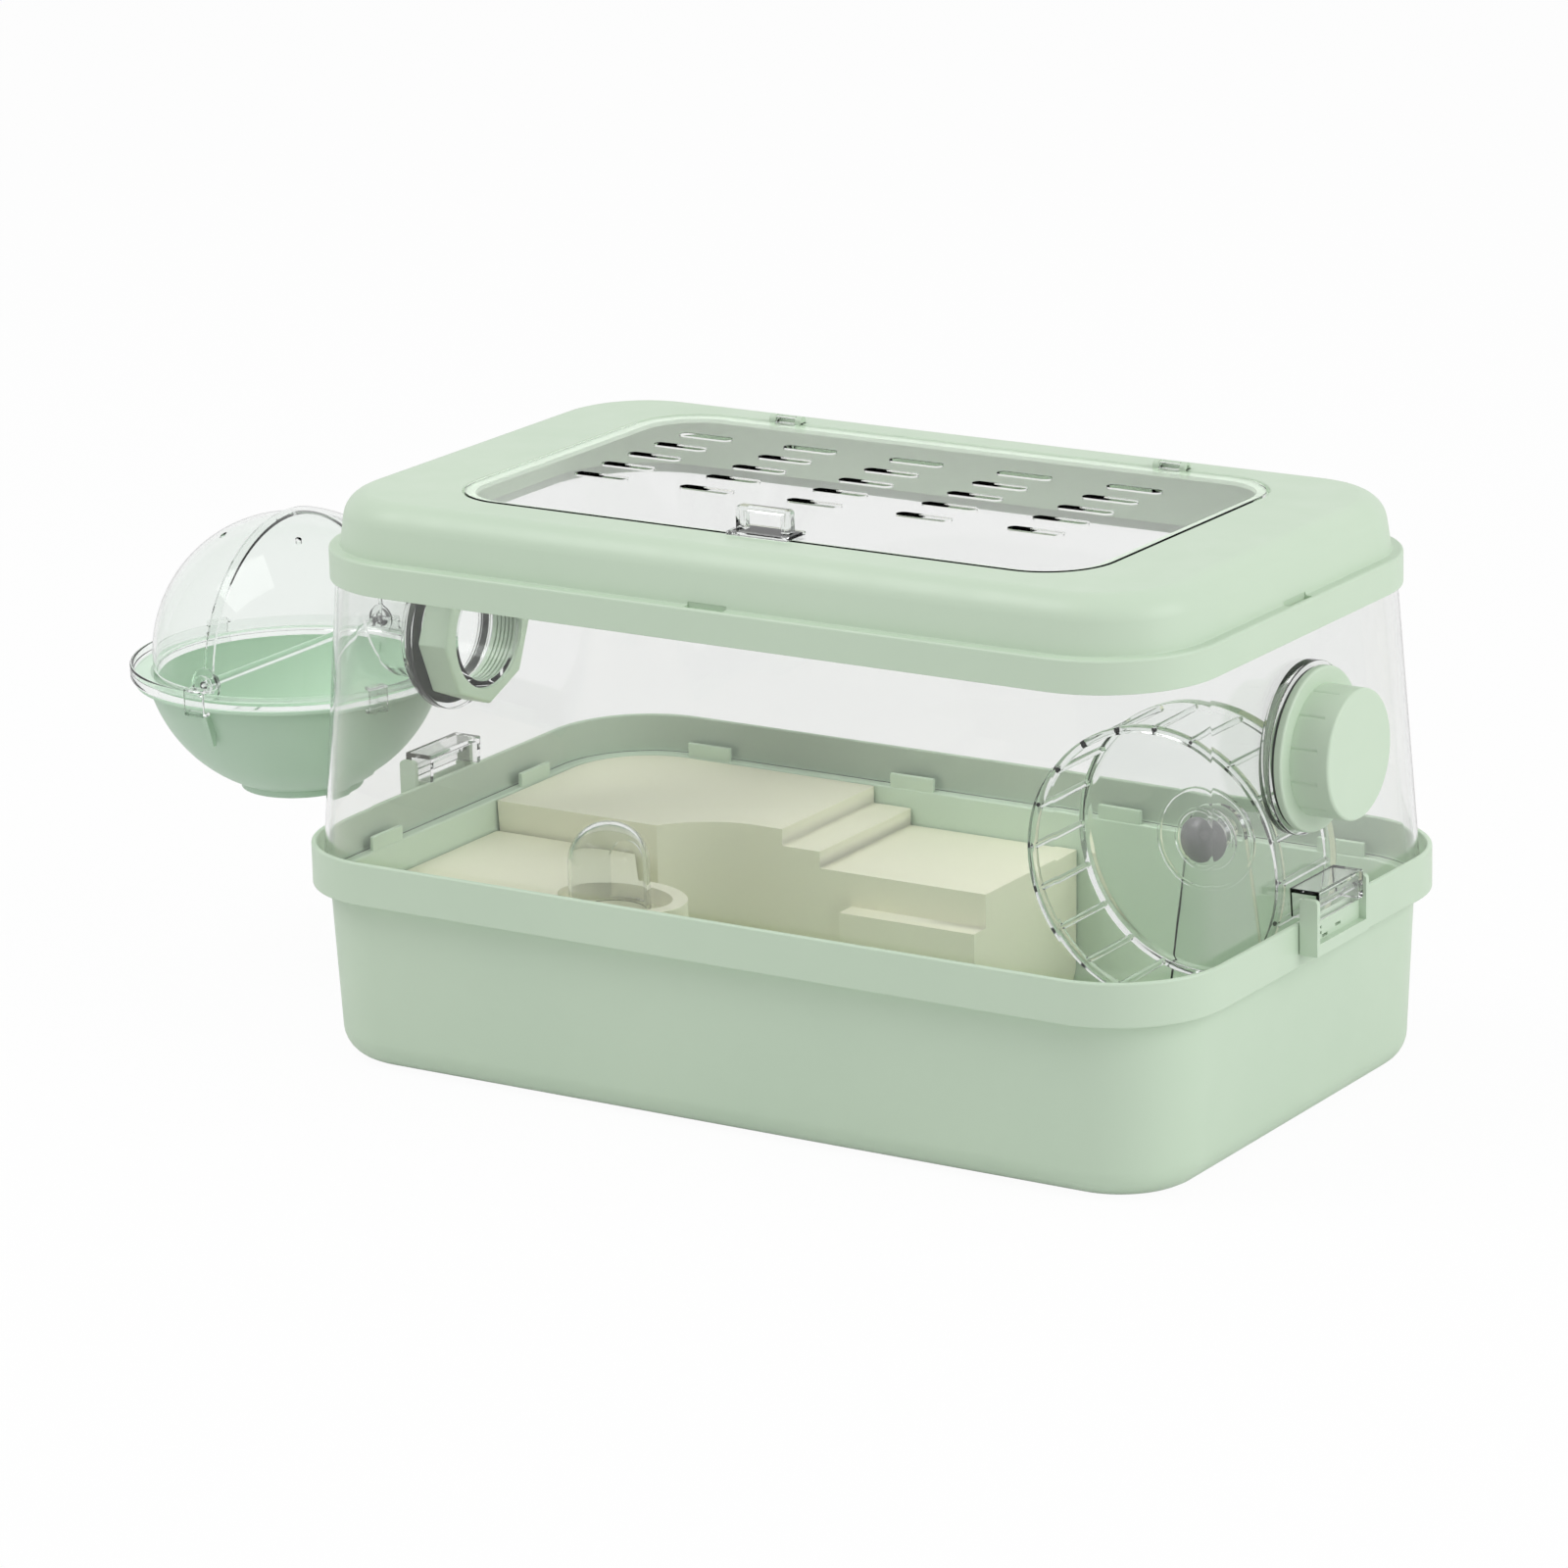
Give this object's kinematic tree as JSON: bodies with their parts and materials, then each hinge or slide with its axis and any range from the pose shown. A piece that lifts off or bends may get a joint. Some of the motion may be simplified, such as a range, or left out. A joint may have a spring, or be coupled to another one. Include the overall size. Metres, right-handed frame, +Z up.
{
  "type": "small animal cage",
  "caption": "Two-tier hamster cage: tray, clear housing, lid with flip window, stepped decks, feeder, running wheel, capped port and side pod.",
  "frame": {"origin": "centre of the tray's flat underside", "axes": "+X along the long side towards the capped port, +Y to the back, +Z up"},
  "size_m": [0.6521, 0.284, 0.2784],
  "materials": {
    "mint_tray": "satin moulded mint-green plastic",
    "mint_lid": "satin moulded mint-green plastic",
    "mint_bowl": "satin moulded mint-green plastic",
    "mint_cap": "satin moulded mint-green plastic",
    "mint_nut": "satin moulded mint-green plastic",
    "mint_latch": "satin moulded mint-green plastic",
    "cream": "satin moulded cream plastic",
    "clear_housing": "polished clear plastic",
    "clear_window": "polished clear plastic",
    "clear_pod": "polished clear plastic",
    "clear_feeder": "polished clear plastic",
    "clear_wheel": "polished clear plastic",
    "pin_steel": "drawn steel rod",
    "pin_clear": "polished clear plastic",
    "bush_white": "self-lubricating white plastic",
    "hub_grey": "satin grey plastic",
    "seal_black": "soft black rubber"
  },
  "bodies": {
    "cage": {"tray": "mint_tray", "clear_housing": "clear_housing", "latch_pins": "pin_clear", "platform_upper": "cream", "platform_front": "cream", "wheel_stand": "clear_wheel", "wheel_axle": "pin_steel", "wheel_hub_cap": "hub_grey", "pod_bowl": "mint_bowl", "pod_dome": "clear_pod", "pod_clips": "clear_pod", "pod_neck_seal": "seal_black"},
    "lid": {"lid_frame": "mint_lid", "window_hinge_pins": "pin_clear"},
    "window": {"window_panel": "clear_window", "window_handle": "clear_window"},
    "latch_right": {"latch_lever_right": "mint_latch"},
    "latch_left": {"latch_lever_left": "mint_latch"},
    "feeder": {"feeder_hood": "clear_feeder"},
    "wheel": {"wheel_drum": "clear_wheel", "wheel_bush": "bush_white"},
    "cap": {"port_cap": "mint_cap", "port_cap_seal": "seal_black"},
    "pod_door": {"pod_door": "clear_pod", "pod_pivot_pins": "clear_pod"},
    "nut": {"port_nut": "mint_nut"}
  },
  "joints": [
    {"name": "lid_lift", "type": "slide", "parent": "cage", "child": "lid", "axis": [0, 0, 1], "range_m": [0, 0.08]},
    {"name": "window_hinge", "type": "hinge", "parent": "lid", "child": "window", "pos_m": [0, 0.1016, 0.2664], "axis": [-1, 0, 0], "range_deg": [0, 105]},
    {"name": "latch_right_flip", "type": "hinge", "parent": "cage", "child": "latch_right", "pos_m": [0.239, 0, 0.11], "axis": [0, -1, 0], "range_deg": [0, 85]},
    {"name": "latch_left_flip", "type": "hinge", "parent": "cage", "child": "latch_left", "pos_m": [-0.239, 0, 0.11], "axis": [0, 1, 0], "range_deg": [0, 75]},
    {"name": "feeder_lift", "type": "slide", "parent": "cage", "child": "feeder", "axis": [0, 0, 1], "range_m": [0, 0.06]},
    {"name": "wheel_spin", "type": "hinge", "parent": "cage", "child": "wheel", "pos_m": [0.161, 0, 0.118], "axis": [0, 1, 0], "continuous": true},
    {"name": "port_cap_pull", "type": "slide", "parent": "cage", "child": "cap", "axis": [1, 0, 0], "range_m": [0, 0.045]},
    {"name": "pod_door_hinge", "type": "hinge", "parent": "cage", "child": "pod_door", "pos_m": [-0.321, 0, 0.152], "axis": [0, 1, 0], "range_deg": [0, 80]},
    {"name": "port_nut_turn", "type": "hinge", "parent": "cage", "child": "nut", "pos_m": [-0.2142, 0, 0.1755], "axis": [1, 0, 0], "continuous": true}
  ]
}
